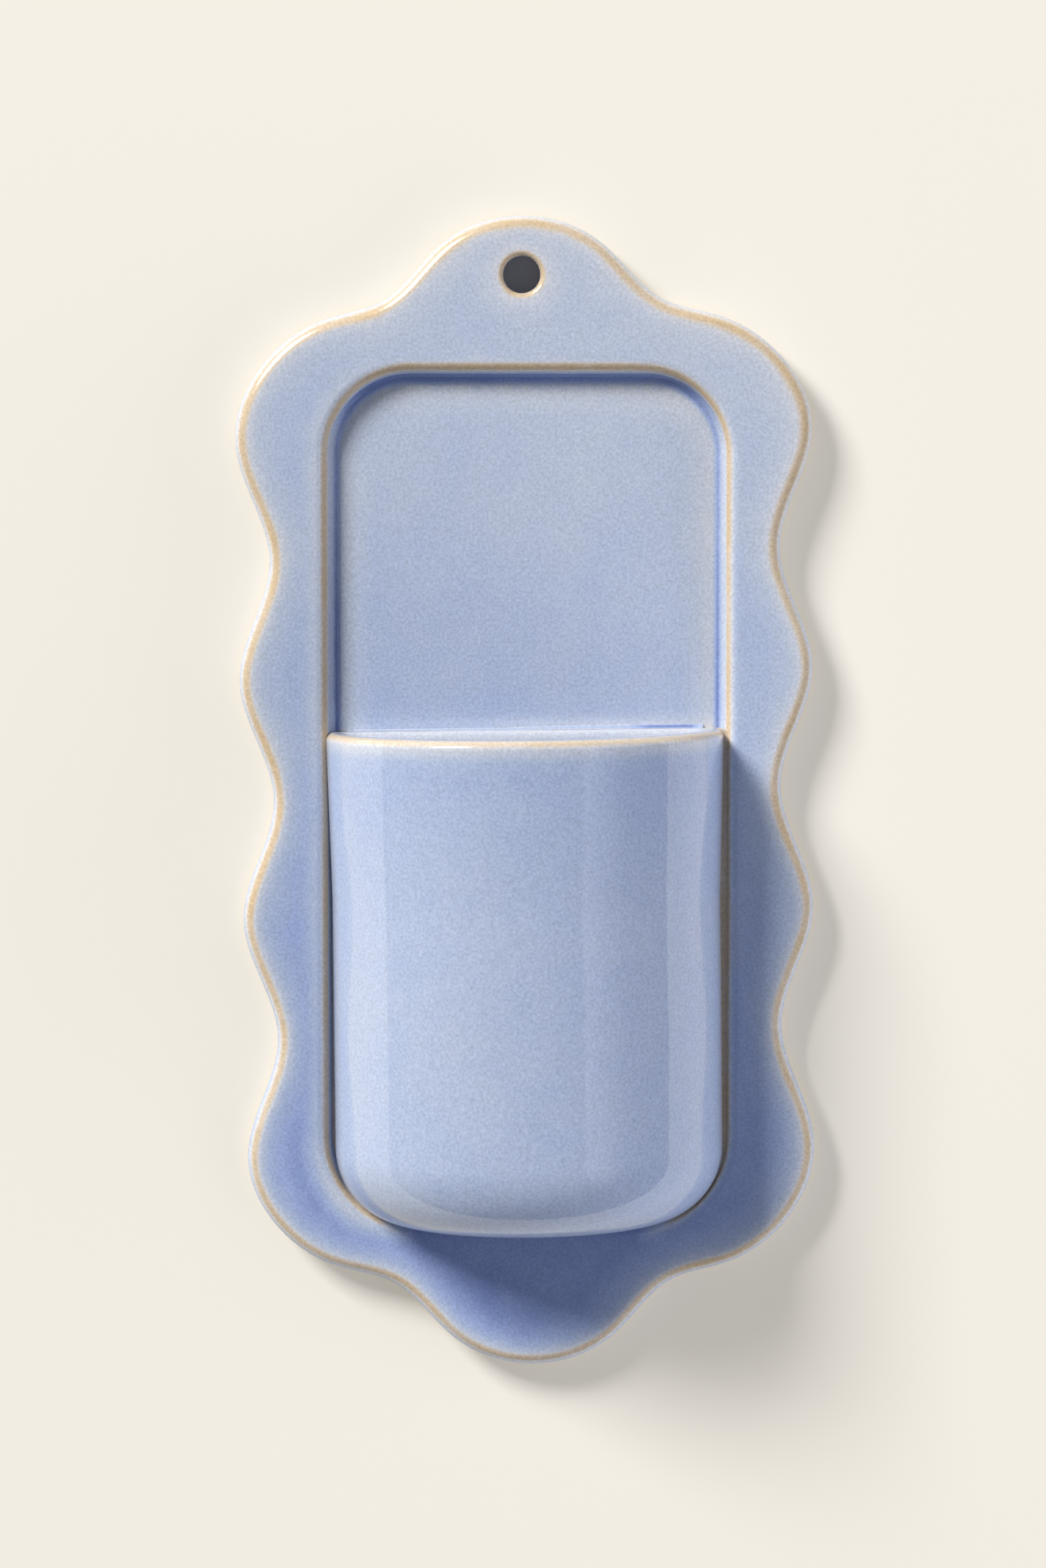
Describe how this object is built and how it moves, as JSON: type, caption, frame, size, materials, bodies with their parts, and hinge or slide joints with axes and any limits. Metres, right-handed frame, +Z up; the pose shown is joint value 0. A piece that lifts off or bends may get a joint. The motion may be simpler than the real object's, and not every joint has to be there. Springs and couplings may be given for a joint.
{
  "type": "hanging wall vase",
  "caption": "Glazed stoneware wall vase: a scalloped back plate with a hanging hole and a sunk panel, and a half-round pocket for flowers on its lower half.",
  "frame": {"origin": "axis of the hanging hole at the plate's back face, which lies against the wall", "axes": "+Z up the wall, +X to the right as seen from the front, -Y out of the wall towards the viewer"},
  "size_m": [0.1258, 0.0469, 0.25],
  "materials": {
    "plate_glaze": "glossy milky blue glaze, breaking to tan on the edges and deeper blue where it pools",
    "pocket_glaze": "glossy milky blue glaze, breaking to tan along the rim",
    "bare_clay": "matt fired stoneware slip"
  },
  "bodies": {
    "root": {"back_plate": "plate_glaze", "pocket_back": "pocket_glaze", "pocket_shell": "pocket_glaze", "inside_coil": "pocket_glaze", "bedding_slip": "bare_clay"}
  },
  "joints": []
}
